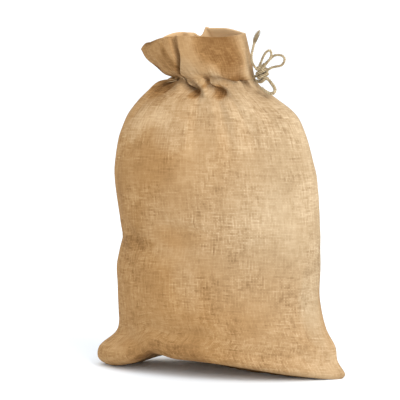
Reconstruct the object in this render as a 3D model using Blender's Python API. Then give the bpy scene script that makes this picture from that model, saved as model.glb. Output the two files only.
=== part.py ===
"""A full hessian sack, drawn shut at the neck and standing on its base.

Metres, +Z up. The origin lies on the flat of the base that the sack rests on.
The front faces -Y, and +X is the side where the drawstring comes out.

The sack is one closed tube of cloth, sewn flat along its bottom edge. Its shape
is a loft: SECTIONS gives the outline of the cloth at a few distances up from the
bottom seam, and PLEATS gathers that outline into the folds of the drawn neck.
"""

import bmesh
import bpy
import numpy as np

MM = 0.001

# --- driving sizes -----------------------------------------------------------
CUT_WIDTH = 350 * MM
CUT_HEIGHT = 497 * MM
ROUND = 2 * CUT_WIDTH
CLOTH = 2.0 * MM
TIE_UP = 434 * MM
TWINE = 3.6 * MM

HESSIAN = (0.54, 0.35, 0.18)
JUTE_TWINE = (0.50, 0.33, 0.16)

OUTLINE_STEPS = 240
FOLD_STEPS = 48

# Each row is one outline of the cloth, in millimetres: how far up the cloth it
# is, where its left and right ends and its front and back middles stand, and
# how sharply its two ends are pinched (1 is an ellipse's round end, 2 a point).
SECTION_NAMES = (
    "up", "x_left", "z_left", "x_right", "z_right",
    "y_front", "z_front", "y_back", "z_back", "pinch_left", "pinch_right",
)
SECTIONS = (
    (0, -138, 0, 148, 0, -6, 0, -6, 0, 1.5, 1.6),  # bottom seam, under the base
    (22, -148, 0, 154, 0, -36, 0, 24, 0, 1.6, 1.6),
    (40, -154, 0, 161, 0, -54, 0, 46, 0, 1.5, 1.8),  # edge of the flat base
    (52, -167.5, 6, 165, 5.5, -65, 4.5, 60, 5, 1.35, 1.8),
    (70, -168.5, 23, 154.5, 22, -68.5, 22, 69, 21, 1.2, 1.6),  # the two corners' ears
    (92, -146, 43, 150.5, 41, -71, 44, 74, 43, 1.2, 1.45),
    (112, -140, 56, 138.5, 61, -74, 64, 76, 64, 1.1, 1.2),
    (150, -140.5, 97, 129.5, 99, -76, 102, 77, 104, 1, 1.05),  # belly
    (190, -141, 137, 129.5, 139, -76, 142, 77, 144, 1, 1),
    (225, -135, 172, 129, 175, -75, 178, 76, 180, 1, 1),
    (262, -139, 209, 127.5, 213, -74, 216, 75, 218, 1, 1),
    (300, -144.5, 247, 124.5, 251, -71, 254.5, 72, 256.5, 1, 1),
    (340, -142, 287, 116, 291, -65, 294, 67, 296, 1, 1),  # shoulder
    (365, -136, 312, 108.5, 317, -59, 319, 61, 321, 1, 1),
    (390, -122.5, 339.5, 93, 341.5, -51, 343, 53, 344.5, 1, 1),
    (408, -104, 360.5, 70.5, 358, -44, 360.5, 45, 361, 1, 1),
    (424, -80, 376, 49, 374, -36, 375, 36, 374, 1, 1),
    (434, -66.5, 381, 43, 383, -30, 384, 31, 384, 1, 1),  # tie
    (446, -75.5, 386, 40.5, 392, -40, 391, 37, 394, 1.1, 1),
    (460, -86, 393.5, 38.5, 405, -44.5, 403, 40, 408, 1.3, 1),
    (478, -101.5, 402.5, 35, 421.5, -41, 421, 39, 424, 1.5, 1.1),
    (497, -109, 413, 31, 440.5, -33, 439.5, 31, 441, 1.7, 1.2),  # rim
)

# Each row is a fold of the gathered neck, named by its place in millimetres
# round the cloth from the right side seam over the back, the left and the
# front: the cloth it takes in, how deep it goes and how wide its mouth is at
# the tie, how far it runs down the shoulder and up the collar, and how far it
# wanders sideways on the way down and on the way up.
FOLD_NAMES = ("at", "cloth", "deep", "mouth", "below", "above", "wander_down", "wander_up")
FOLDS = (
    (52, 44, 13, 9, 75, 56, 4, -3),
    (126, 44, 15, 9, 85, 60, -6, 4),
    (206, 44, 15, 9, 80, 90, 6, -4),
    (288, 44, 14, 9, 80, 120, -4, 4),
    (396, 30, 10, 9, 46, 18, -14, 0),  # short fold under the left flare
    (438, 44, 18, 10, 44, 80, 26, 36),  # deep pleat beside the left flare
    (524, 44, 15, 9, 42, 26, 30, -6),
    (650, 36, 9, 11, 34, 26, 4, 2),
)
TUCKED = 0.9  # how upright a fold's two walls stand at the tie, 1 is straight in

# The rim isn't level: each row gives, at a place in millimetres round the
# cloth from the right side seam, how far the rim stands up there.
RIM_NAMES = ("at", "raised")
RIM = (
    (0, 0), (30, 1.5), (60, 4.5), (90, 6), (118, 5), (140, 4), (155, 3), (161, -4), (185, -3),
    (225, 0), (245, 1), (265, 1), (290, 0), (320, 4), (350, 4), (380, 5), (410, 1), (440, 0), (700, 0),
)
RIM_FROM = 448  # where on the way up the rim's rise begins

# The lower front edge stands off the floor like an arch. Each row gives, at an
# x, how far the edge is raised and behind which y the base is flat again.
ARCH_NAMES = ("x", "raised", "flat_from")
ARCH = (
    (-150, 3, -12),
    (-121, 9, 12),
    (-106, 13, 64),
    (-94, 20, 84),
    (-84, 26.5, 84),
    (-72, 27, 76),
    (-50, 23, 40),
    (-34, 22.7, 4),
    (-18, 22.3, -9),
    (30, 18.8, -12),
    (60, 15.2, -14),
    (90, 11.8, -14),
    (120, 9, -12),
    (146, 4.8, -10),
    (160, 2, -10),
)
EDGE_Y = -64  # where the lower front edge is
LIFT_FADE = 120  # the height up to which the front gives way to the arch


def column(rows, names, name, at):
    """A named column of a table, read at a smooth curve through its rows."""
    x = np.array([row[0] for row in rows], float)
    y = np.array([row[names.index(name)] for row in rows], float)
    slope = np.gradient(y, x)
    i = np.clip(np.searchsorted(x, at, side="right") - 1, 0, len(x) - 2)
    step = x[i + 1] - x[i]
    t = (at - x[i]) / step
    return (
        (2 * t**3 - 3 * t**2 + 1) * y[i]
        + (t**3 - 2 * t**2 + t) * step * slope[i]
        + (3 * t**2 - 2 * t**3) * y[i + 1]
        + (t**3 - t**2) * step * slope[i + 1]
    )


def smooth(t):
    """0 below 0, 1 above 1, and a soft step between them."""
    t = np.clip(t, 0, 1)
    return t * t * (3 - 2 * t)


def outline(up):
    """The ungathered outline of the cloth, as points from the right side seam and back to it."""
    at = {n: float(column(SECTIONS, SECTION_NAMES, n, up / MM)) * MM for n in SECTION_NAMES[:9]}
    pinch = [float(column(SECTIONS, SECTION_NAMES, n, up / MM)) for n in SECTION_NAMES[9:]]
    turn = np.linspace(0, 2 * np.pi, OUTLINE_STEPS + 1)
    c, s = np.cos(turn), np.sin(turn)
    rightness = (1 + c) / 2
    sharp = pinch[0] + (pinch[1] - pinch[0]) * rightness
    side_y = (at["y_front"] + at["y_back"]) / 2
    side_z = at["z_left"] + (at["z_right"] - at["z_left"]) * rightness
    middle_y = np.where(s > 0, at["y_back"], at["y_front"])
    middle_z = np.where(s > 0, at["z_back"], at["z_front"])
    x = (at["x_left"] + at["x_right"]) / 2 + (at["x_right"] - at["x_left"]) / 2 * c
    y = side_y + (middle_y - side_y) * np.abs(s) ** sharp
    z = side_z + (middle_z - side_z) * s**2
    return np.stack([x, y, z], axis=1)


def fold(tucked, along):
    """The section of a fold at shares of its own cloth: how far across it is, as a share
    of its mouth, and how far in, as a share of its depth."""
    steps = (np.arange(FOLD_STEPS) + 0.5) / FOLD_STEPS
    wave = np.sin(2 * np.pi * steps)
    swing = tucked * np.pi / 2 * np.tanh((0.1 + 2 * tucked) * wave) / np.tanh(0.1 + 2 * tucked)
    across = np.concatenate([[0], np.cumsum(np.cos(swing))])
    deep = np.concatenate([[0], np.cumsum(np.sin(swing))])
    every = np.linspace(0, 1, FOLD_STEPS + 1)
    return np.interp(along, every, across / across[-1]), np.interp(along, every, deep / deep.max())


def fold_middles(height):
    """Where the middle of each fold is round the cloth, this far above the tie, in millimetres."""
    rows = [dict(zip(FOLD_NAMES, row)) for row in FOLDS]
    down, up = smooth(-height / 28), smooth(height / 45)
    return rows, [row["at"] + row["wander_down"] * down + row["wander_up"] * up for row in rows]


def gathered(around, up):
    """Where the cloth at these shares of its way round sits once it is gathered:
    its share of the outline, and how far inside the outline it is, in metres."""
    height = (up - TIE_UP) / MM
    rows, middles = fold_middles(height)
    round_mm = ROUND / MM
    place = np.array(around, float) * round_mm
    inside = np.zeros(len(place))
    at, to = [], []
    for row, middle in zip(rows, middles):
        reach = row["below"] if height < 0 else row["above"]
        fade = float(1 - smooth(abs(height) / reach))
        half = row["cloth"] / 2
        mouth = half + (row["mouth"] * row["cloth"] / 20 - half) * fade
        here = np.abs(place - middle) < half
        across, deep = fold(0.02 + (TUCKED - 0.02) * fade, (place[here] - middle + half) / (2 * half))
        at += [middle - half, middle + half]
        to += [middle - mouth, middle + mouth]
        inside[here] = deep * row["deep"] * fade * MM
        place[here] = middle + (across * 2 - 1) * mouth - 5 * round_mm
    at, to = np.array(at), np.array(to)
    at = np.concatenate([[at[-1] - round_mm], at, [at[0] + round_mm]])
    to = np.concatenate([[to[-1] - round_mm], to, [to[0] + round_mm]])
    flat = place > -round_mm
    place[flat] = np.interp(place[flat], at, to)
    place[~flat] += 5 * round_mm
    return place / round_mm, inside


def columns(up, front, back):
    """Shares of the way round the cloth for the points of one ring: closely set in the folds at
    the neck, and even at the base. front and back give the points in each fold and panel."""
    rows, middles = fold_middles((up - TIE_UP) / MM)
    places = []
    for low, high, counts in ((0, 0.5, back), (0.5, 1, front)):
        edges = [low * ROUND / MM]
        for row, middle in zip(rows, middles):
            if low <= row["at"] * MM / ROUND < high:
                edges += [middle - row["cloth"] / 2, middle + row["cloth"] / 2]
        edges.append(high * ROUND / MM)
        for start, end, count in zip(edges, edges[1:], counts):
            places += [start + (end - start) * i / count for i in range(count)]
    places = np.array(places) * MM / ROUND
    even = np.arange(len(places)) / len(places)
    return even + (places - even) * smooth((up - 180 * MM) / (170 * MM))


def lifted(points):
    """The points, with the lower front edge raised off the floor."""
    x, y, z = points.T / MM
    raised = np.maximum(column(ARCH, ARCH_NAMES, "raised", np.clip(x, ARCH[0][0], ARCH[-1][0])), 0)
    flat_from = column(ARCH, ARCH_NAMES, "flat_from", np.clip(x, ARCH[0][0], ARCH[-1][0]))
    ramp = np.clip((flat_from - y) / (flat_from - EDGE_Y), 0, 1)
    low = 1 - smooth(z / LIFT_FADE)
    points = points.copy()
    points[:, 2] = np.maximum(z, 0) * MM + raised * ramp * (2 - ramp) * low * MM
    return points


def cloth_ring(around, up):
    """The points of the cloth at these shares of its way round, this far up from the bottom seam."""
    line = outline(up)
    length = np.concatenate([[0], np.cumsum(np.linalg.norm(np.diff(line, axis=0), axis=1))])
    half = length[OUTLINE_STEPS // 2]
    share, inside = gathered(np.asarray(around, float), up)
    share = share % 1
    at = np.where(share < 0.5, share * 2 * half, half + (share * 2 - 1) * (length[-1] - half))
    points = np.stack([np.interp(at, length, line[:, k]) for k in range(3)], axis=1)
    ahead = np.stack([np.interp((at + 1 * MM) % length[-1], length, line[:, k]) for k in range(2)], axis=1)
    behind = np.stack([np.interp((at - 1 * MM) % length[-1], length, line[:, k]) for k in range(2)], axis=1)
    along = ahead - behind
    along /= np.maximum(np.linalg.norm(along, axis=1), 1e-9)[:, None]
    points[:, 0] -= along[:, 1] * inside
    points[:, 1] += along[:, 0] * inside
    rise = column(RIM, RIM_NAMES, "raised", np.asarray(around, float) % 1 * ROUND / MM)
    points[:, 2] += rise * MM * smooth((up / MM - RIM_FROM) / (CUT_HEIGHT / MM - RIM_FROM)) ** 0.7
    return lifted(points)


ROWS = (
    0, 16, 32, 41, 48, 56, 68, 84, 106, 132, 165, 205, 245, 282, 314, 340, 361, 378, 392, 404,
    415, 425, 434, 443, 453, 465, 480, 497,
)
BACK_POINTS = (3, 8, 2, 8, 3, 8, 3, 8, 2)
FRONT_POINTS = (4, 6, 2, 8, 5, 8, 6, 7, 4)

# The drawstring: each row is a place on its way, in millimetres, with how many
# times thicker than the twine it is there.
WAY_NAMES = ("x", "y", "z", "thick")
DRAWSTRING = {
    "drawstring_tail_up": (
        (48.6, -13.3, 397.2, 1), (43.8, -14.5, 404, 1), (42, -14, 412.2, 1), (43.5, -13, 422.4, 1),
        (45.5, -11, 431.5, 1.2), (47.8, -10, 438.5, 1.7), (50, -10, 443, 1.8), (51.6, -10, 446.4, 1.2),
    ),
    "drawstring_loop_upright": (
        (53.4, -10.2, 405.2, 1), (55.8, -12, 410.6, 1), (58.6, -13, 415.7, 1), (62.1, -13, 419.8, 1),
        (65.7, -13, 421.2, 1), (67.7, -13, 417.5, 1), (66.4, -13.5, 411.2, 1), (62.3, -13.8, 405.6, 1),
        (58.4, -13.6, 400.6, 1),
    ),
    "drawstring_loop_round": (
        (57, -2, 403.2, 1), (63.3, -1, 409.2, 1), (68.5, -2, 413.7, 1), (74.6, -4, 414.9, 1),
        (80.3, -6, 414.1, 1), (83.9, -8, 410.5, 1), (83.3, -9, 406.6, 1), (80, -9, 402.4, 1),
        (73.5, -9, 400.7, 1), (67, -8, 399, 1), (61.6, -7, 395.8, 1),
    ),
    "drawstring_tail_curled": (
        (61.2, -10, 385.6, 1), (64.8, -11, 382.7, 1), (68.2, -12, 379, 1), (71.5, -13, 374.8, 1),
        (73, -14, 370.6, 1), (71.2, -15, 367.3, 1), (67, -16, 366.8, 1), (63.1, -17.5, 368.8, 1),
        (58.9, -18.5, 371.8, 1), (54.9, -19, 374.8, 1),
    ),
    "drawstring_round_neck": (
        (45, -2.5, 386.8, 1), (41, 0, 386.7, 1), (33, 2, 386, 1), (24, 3.4, 385.5, 1), (8, 6.5, 385, 1),
        (-12, 7, 384, 1), (-28, 5, 384, 1), (-37, 0.5, 384, 1), (-28, -4.5, 383.5, 1),
        (-12, -7, 383.5, 1), (8, -7, 383, 1), (24, -5, 382, 1), (33, -3, 381.4, 1),
        (41, -0.5, 381.2, 1), (45.4, -2.5, 381.4, 1),
    ),
}
TWINE_STEP = 4 * MM

KNOT_MIDDLE = (52.6 * MM, -6 * MM, 391.2 * MM)
KNOT_TOP = (49.8 * MM, -6 * MM, 403 * MM)
KNOT_RADIUS = 6.4 * MM
KNOT_WRAPS = 4

SLOT_MIDDLE = (42 * MM, -0.5 * MM, 384 * MM)
SLOT_SIZE = (14 * MM, 8 * MM, 11.6 * MM)


def material(name, colour, roughness):
    made = bpy.data.materials.new(name)
    made.use_nodes = True
    surface = made.node_tree.nodes["Principled BSDF"]
    surface.inputs["Base Color"].default_value = (*colour, 1)
    surface.inputs["Roughness"].default_value = roughness
    surface.inputs["Metallic"].default_value = 0
    return made


def placed(name, data, colour, roughness=0.95):
    thing = bpy.data.objects.new(name, data)
    data.materials.append(material(name, colour, roughness))
    bpy.context.scene.collection.objects.link(thing)
    return thing


def sack_cloth():
    """The cloth from its bottom seam to its rim, as one closed wall."""
    cloth = bmesh.new()
    rings = []
    for up in ROWS:
        around = columns(up * MM, FRONT_POINTS, BACK_POINTS)
        rings.append([cloth.verts.new(p) for p in cloth_ring(around, up * MM)])
    for low, high in zip(rings, rings[1:]):
        for i in range(len(low)):
            j = (i + 1) % len(low)
            cloth.faces.new((low[i], low[j], high[j], high[i]))
    bmesh.ops.remove_doubles(cloth, verts=cloth.verts, dist=0.05 * MM)
    mesh = bpy.data.meshes.new("sack")
    cloth.to_mesh(mesh)
    cloth.free()
    mesh.shade_smooth()
    sack = placed("sack", mesh, HESSIAN)
    wall = sack.modifiers.new("wall", "SOLIDIFY")
    wall.thickness = CLOTH
    wall.offset = -1
    cut = sack.modifiers.new("slot for the drawstring", "BOOLEAN")
    cut.operation = "DIFFERENCE"
    cut.object = slot_cutter()
    return sack


def slot_cutter():
    """A box where the drawstring comes out of the neck at the right side seam."""
    box = bmesh.new()
    bmesh.ops.create_cube(box, size=1)
    bmesh.ops.scale(box, vec=SLOT_SIZE, verts=box.verts)
    bmesh.ops.translate(box, vec=SLOT_MIDDLE, verts=box.verts)
    mesh = bpy.data.meshes.new("slot")
    box.to_mesh(mesh)
    box.free()
    cutter = bpy.data.objects.new("slot", mesh)
    bpy.context.scene.collection.objects.link(cutter)
    cutter.hide_render = True
    cutter.display_type = "WIRE"
    return cutter


def smooth_way(rows, step):
    """Points and thicknesses along a soft curve through the rows, about a step apart."""
    knots = np.array(rows, float)
    length = np.concatenate([[0], np.cumsum(np.linalg.norm(np.diff(knots[:, :3], axis=0), axis=1))])
    count = int(np.ceil(length[-1] * MM / step))
    at = np.linspace(0, length[-1], count + 1)
    table = [(here, *row) for here, row in zip(length, knots)]
    names = ("at", *WAY_NAMES)
    return np.stack([column(table, names, name, at) for name in WAY_NAMES], axis=1)


def twine(name, rows):
    """One run of the drawstring, as a tube with closed ends."""
    curve = bpy.data.curves.new(name, "CURVE")
    curve.dimensions = "3D"
    way = smooth_way(rows, TWINE_STEP)
    line = curve.splines.new("POLY")
    line.points.add(len(way) - 1)
    for point, (x, y, z, thick) in zip(line.points, way):
        point.co = (x * MM, y * MM, z * MM, 1)
        point.radius = thick
    curve.bevel_depth = TWINE / 2
    curve.bevel_resolution = 2
    curve.use_fill_caps = True
    curve.render_resolution_u = 0
    return placed(name, curve, JUTE_TWINE)


def knot():
    """The wrapped knot of the bow: a round form turned about its axis, grooved between the wraps."""
    sides, rows = 12, 18
    top = np.array(KNOT_TOP)
    middle = np.array(KNOT_MIDDLE)
    along = top - middle
    half = np.linalg.norm(along)
    along /= half
    across = np.cross(along, (0, 1, 0))
    across /= np.linalg.norm(across)
    ahead = np.cross(along, across)
    form = bmesh.new()
    rings = []
    for i in range(1, rows):
        t = -np.cos(np.pi * i / rows)
        radius = KNOT_RADIUS * np.sqrt(1 - t * t) ** 0.7 * (0.93 + 0.07 * np.cos(2 * np.pi * KNOT_WRAPS * t))
        rings.append([
            form.verts.new(middle + along * half * t + radius * (np.cos(a) * across + np.sin(a) * ahead))
            for a in np.arange(sides) * 2 * np.pi / sides
        ])
    for low, high in zip(rings, rings[1:]):
        for i in range(sides):
            j = (i + 1) % sides
            form.faces.new((low[i], low[j], high[j], high[i]))
    for ring, end in ((rings[0], -1), (rings[-1], 1)):
        tip = form.verts.new(middle + along * half * end)
        for i in range(sides):
            form.faces.new((ring[i], ring[(i + 1) % sides], tip))
    bmesh.ops.recalc_face_normals(form, faces=form.faces)
    mesh = bpy.data.meshes.new("drawstring_knot")
    form.to_mesh(mesh)
    form.free()
    mesh.shade_smooth()
    return placed("drawstring_knot", mesh, JUTE_TWINE)


def main():
    for thing in list(bpy.data.objects):
        bpy.data.objects.remove(thing)
    sack_cloth()
    knot()
    for name, rows in DRAWSTRING.items():
        twine(name, rows)


main()
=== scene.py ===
# %% [markdown]
# # A hessian sack in Blender
# The sack is one length of coarse jute cloth, folded at the left side, sewn down
# the right side and along the bottom, with its rim turned in as a hem. A jute
# twine runs through the hem, draws the neck shut and is tied in a small bow.
# These cells dress the plain solids of the sack: first the frame, camera and
# light, then the cloth, the twine and their finishes.

# %% Load the frame
import math
import random

import bmesh
import bpy
import numpy as np
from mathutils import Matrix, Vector, noise


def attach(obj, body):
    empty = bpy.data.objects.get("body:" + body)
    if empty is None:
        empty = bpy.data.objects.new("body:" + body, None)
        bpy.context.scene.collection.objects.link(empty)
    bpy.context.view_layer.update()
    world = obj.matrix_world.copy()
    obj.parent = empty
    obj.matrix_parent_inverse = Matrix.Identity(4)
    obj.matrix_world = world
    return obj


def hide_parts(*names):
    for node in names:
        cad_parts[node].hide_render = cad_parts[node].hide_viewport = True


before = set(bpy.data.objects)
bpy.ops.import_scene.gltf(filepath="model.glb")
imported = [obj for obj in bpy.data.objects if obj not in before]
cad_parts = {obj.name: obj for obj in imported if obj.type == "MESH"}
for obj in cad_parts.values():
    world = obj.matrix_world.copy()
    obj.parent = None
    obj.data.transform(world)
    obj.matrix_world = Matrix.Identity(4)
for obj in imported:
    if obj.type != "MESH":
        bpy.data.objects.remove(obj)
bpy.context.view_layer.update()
MM = 0.001

# %% [markdown]
# ## The camera
# It stands a little to the right of the front and looks slightly down, from far
# enough back that the sack's sides stay nearly parallel. Where the sack's base
# rests in the view is set by the aim, not by a shift of the lens.

# %% Camera
VIEW = 400  # how many pixels the view is wide and high
PIXEL = 1.306 * MM  # what one pixel spans at the sack
BASE_AT = (222, 370.5)  # the pixel where the middle of the base stands
AZIMUTH, ELEVATION, DISTANCE = math.radians(16), math.radians(8.5), 3.0
SENSOR = 36


def add_object(name, data):
    """A new object in the scene."""
    thing = bpy.data.objects.new(name, data)
    bpy.context.scene.collection.objects.link(thing)
    return thing


to_camera = Vector((
    math.sin(AZIMUTH) * math.cos(ELEVATION),
    -math.cos(AZIMUTH) * math.cos(ELEVATION),
    math.sin(ELEVATION),
))
to_right = Vector((math.cos(AZIMUTH), math.sin(AZIMUTH), 0))
to_top = to_camera.cross(to_right)
aim = (to_top * (BASE_AT[1] - VIEW / 2) - to_right * (BASE_AT[0] - VIEW / 2)) * PIXEL
camera = add_object("camera", bpy.data.cameras.new("camera"))
camera.location = aim + to_camera * DISTANCE
camera.rotation_euler = to_camera.to_track_quat("Z", "Y").to_euler()
camera.data.sensor_width = SENSOR
camera.data.lens = SENSOR * DISTANCE / (VIEW * PIXEL)
camera.data.clip_end = 30
bpy.context.scene.camera = camera
print("camera lens", round(camera.data.lens), "mm")

# %% [markdown]
# ## Shader maths
# A material is a small program made of nodes. The class below lets that program
# be written as ordinary sums: it wraps one output of a node, and every sign
# between two of them adds the Math node that does it.

# %% Values of a material
class Value:
    """One number of a material that may differ from place to place."""

    def __init__(self, graph, socket):
        self.graph, self.socket = graph, socket

    def _with(self, operation, *others):
        return self.graph.node("ShaderNodeMath", {"operation": operation}, [self, *others])

    def __add__(self, other): return self._with("ADD", other)
    def __radd__(self, other): return self._with("ADD", other)
    def __sub__(self, other): return self._with("SUBTRACT", other)
    def __mul__(self, other): return self._with("MULTIPLY", other)
    def __rmul__(self, other): return self._with("MULTIPLY", other)
    def __truediv__(self, other): return self._with("DIVIDE", other)
    def __pow__(self, other): return self._with("POWER", other)
    def floor(self): return self._with("FLOOR")
    def fraction(self): return self._with("FRACT")
    def modulo(self, other): return self._with("MODULO", other)
    def clamped(self): return self.graph.node("ShaderNodeClamp", {}, {"Value": self})

    def __rsub__(self, other):
        return self.graph.node("ShaderNodeMath", {"operation": "SUBTRACT"}, [other, self])

    def spread(self, low, high, to_low=0.0, to_high=1.0):
        """The value read on a new scale, held between its two ends with a soft step."""
        return self.graph.node(
            "ShaderNodeMapRange", {"interpolation_type": "SMOOTHSTEP"},
            {"Value": self, "From Min": low, "From Max": high, "To Min": to_low, "To Max": to_high},
        )


print("values can be added, taken away, multiplied, divided and raised to a power")

# %% Nodes of a material
class Graph:
    """The nodes of one material."""

    def __init__(self, name):
        self.material = bpy.data.materials.new(name)
        self.material.use_nodes = True
        self.tree = self.material.node_tree
        self.surface = self.tree.nodes["Principled BSDF"]

    def node(self, kind, settings, inputs, output=0):
        """A node of that kind, its settings made first, then its inputs given values or links."""
        made = self.tree.nodes.new(kind)
        for name, value in settings.items():
            if name == "stops":
                while len(made.color_ramp.elements) < len(value):
                    made.color_ramp.elements.new(1)
                for element, (place, colour) in zip(made.color_ramp.elements, value):
                    element.position, element.color = place, (*colour, 1)
            else:
                setattr(made, name, value)
        for key, value in inputs.items() if isinstance(inputs, dict) else enumerate(inputs):
            self.give(made.inputs[key], value)
        return Value(self, made.outputs[output])

    def give(self, socket, value):
        """Links a value to an input, or sets it to a plain one."""
        if isinstance(value, Value):
            self.tree.links.new(value.socket, socket)
        else:
            socket.default_value = value

    def noise(self, at, scale, detail=2.0, rough=0.5):
        """Soft random numbers about 0.5, over a vector."""
        return self.node(
            "ShaderNodeTexNoise", {"noise_dimensions": "3D"},
            {"Vector": at, "Scale": scale, "Detail": detail, "Roughness": rough},
        )

    def vector(self, x, y, z=0.0):
        """One vector from three numbers."""
        return self.node("ShaderNodeCombineXYZ", {}, [x, y, z])

    def split(self, vector):
        """The three numbers of a vector."""
        first = self.node("ShaderNodeSeparateXYZ", {}, [vector])
        return [Value(self, socket) for socket in first.socket.node.outputs]

    def mix(self, share, first, second):
        """A colour between two others, by share."""
        inputs = {0: share, 6: first, 7: second if isinstance(second, Value) else (*second, 1)}
        return self.node("ShaderNodeMix", {"data_type": "RGBA"}, inputs, 2)

    def tones(self, shade, colours):
        """A dark, a middle and a light colour, read by shade."""
        stops = tuple(zip((0.0, 0.5, 1.0), colours))
        return self.node("ShaderNodeValToRGB", {"stops": stops}, {"Fac": shade})

    def bump(self, height, strength, distance):
        """A surface that catches the light as if it stood that high."""
        inputs = {"Strength": strength, "Distance": distance, "Height": height}
        return self.node("ShaderNodeBump", {}, inputs)

    def finish(self, **channels):
        """Gives the surface its channels, with the underscores of their names as spaces."""
        for name, value in channels.items():
            self.give(self.surface.inputs[name.replace("_", " ")], value)
        return self.material


print("a new material can be given nodes, noises, colours and bumps")

# %% [markdown]
# ## The floor and the light
# A large, soft lamp stands to the right and in front, as the sack's right half is
# the lighter one. A pale sky fills the shadows. The floor is pale and plain, and
# it meets the sky so far off that the two look like one sheet of paper.

# %% Floor
FLOOR_SIZE = 30
FLOOR_WHITE = (0.88, 0.93, 0.98)


def as_mesh(form, name):
    """The mesh of a finished form."""
    mesh = bpy.data.meshes.new(name)
    form.to_mesh(mesh)
    form.free()
    return mesh


form = bmesh.new()
bmesh.ops.create_grid(form, x_segments=2, y_segments=2, size=FLOOR_SIZE / 2)
floor = add_object("floor", as_mesh(form, "floor"))
floor.data.materials.append(Graph("floor").finish(Base_Color=(*FLOOR_WHITE, 1), Roughness=0.9))
print("floor", FLOOR_SIZE, "m wide")

# %% Lights
# Each row is a lamp: its name, place, width, watts and colour, and where it shines.
LAMPS = (
    ("key", (2.4, -1.5, 1.9), 2.6, 90, (1.0, 0.99, 0.98), (0, 0, 0.2)),
    ("front", (-0.6, -3.0, 1.3), 2.0, 8, (1.0, 0.99, 0.97), (0, 0, 0.2)),
    ("backdrop", (0, 9.5, 4.5), 4.0, 130, (1.0, 0.96, 0.92), (0, 10.0, 0)),
)
SKY_STRENGTH = 1.12

for name, place, size, watts, colour, aim_at in LAMPS:
    lamp = bpy.data.lights.new(name, "AREA")
    lamp.shape, lamp.size, lamp.energy, lamp.color = "DISK", size, watts, colour
    thing = add_object(name, lamp)
    thing.location = place
    thing.rotation_euler = (Vector(place) - Vector(aim_at)).to_track_quat("Z", "Y").to_euler()
sky = bpy.data.worlds.new("sky")
bpy.context.scene.world = sky
sky.use_nodes = True
glow = sky.node_tree.nodes["Background"].inputs
glow["Color"].default_value = (1, 1, 1, 1)
glow["Strength"].default_value = SKY_STRENGTH
bpy.context.scene.view_settings.view_transform = "Standard"

# %% [markdown]
# ## The shape of the cloth
# A full sack is a tube of cloth that the goods press outwards. It could be pushed
# about by hand, but a loft is easier to keep to real sizes: each row of the table
# below is one outline of the tube, at a distance up the cloth from its bottom
# seam, with the places of its two ends and of its front and back middles.

# %% Sizes of the cut cloth and its outlines
CUT_WIDTH = 350 * MM
CUT_HEIGHT = 497 * MM
ROUND = 2 * CUT_WIDTH
TIE_UP = 434 * MM  # how far up the cloth the twine ties it
OUTLINE_STEPS = 480
FOLD_STEPS = 48

# Each row is one outline of the cloth, in millimetres: how far up the cloth it
# is, where its left and right ends and its front and back middles stand, and
# how sharply its two ends are pinched (1 is an ellipse's round end, 2 a point).
SECTION_NAMES = (
    "up", "x_left", "z_left", "x_right", "z_right",
    "y_front", "z_front", "y_back", "z_back", "pinch_left", "pinch_right",
)
SECTIONS = (
    (0, -138, 0, 148, 0, -6, 0, -6, 0, 1.5, 1.6),  # bottom seam, under the base
    (22, -148, 0, 154, 0, -36, 0, 24, 0, 1.6, 1.6),
    (40, -154, 0, 161, 0, -54, 0, 46, 0, 1.5, 1.8),  # edge of the flat base
    (52, -167.5, 6, 165, 5.5, -65, 4.5, 60, 5, 1.35, 1.8),
    (70, -168.5, 23, 154.5, 22, -68.5, 22, 69, 21, 1.2, 1.6),  # the two corners' ears
    (92, -146, 43, 150.5, 41, -71, 44, 74, 43, 1.2, 1.45),
    (112, -140, 56, 138.5, 61, -74, 64, 76, 64, 1.1, 1.2),
    (150, -140.5, 97, 129.5, 99, -76, 102, 77, 104, 1, 1.05),  # belly
    (190, -141, 137, 129.5, 139, -76, 142, 77, 144, 1, 1),
    (225, -135, 172, 129, 175, -75, 178, 76, 180, 1, 1),
    (262, -139, 209, 127.5, 213, -74, 216, 75, 218, 1, 1),
    (300, -144.5, 247, 124.5, 251, -71, 254.5, 72, 256.5, 1, 1),
    (340, -142, 287, 116, 291, -65, 294, 67, 296, 1, 1),  # shoulder
    (365, -136, 312, 108.5, 317, -59, 319, 61, 321, 1, 1),
    (390, -122.5, 339.5, 93, 341.5, -51, 343, 53, 344.5, 1, 1),
    (408, -104, 360.5, 70.5, 358, -44, 360.5, 45, 361, 1, 1),
    (424, -80, 376, 49, 374, -36, 375, 36, 374, 1, 1),
    (434, -66.5, 381, 43, 383, -30, 384, 31, 384, 1, 1),  # tie
    (446, -75.5, 386, 40.5, 392, -40, 391, 37, 394, 1.1, 1),
    (460, -86, 393.5, 38.5, 405, -44.5, 403, 40, 408, 1.3, 1),
    (478, -101.5, 402.5, 35, 421.5, -41, 421, 39, 424, 1.5, 1.1),
    (497, -109, 413, 31, 440.5, -33, 439.5, 31, 441, 1.7, 1.2),  # rim
)
print(len(SECTIONS), "outlines of the cloth, from the bottom seam to the rim")

# %% [markdown]
# The drawn neck gathers the cloth into folds. Each fold swings in between two
# flatter panels, deepest where the twine ties it, and fades into the shoulder
# below and into the collar above. The cloth's lower front edge stands off the
# floor like a low arch, because the goods have pushed the two corners down.

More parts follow.
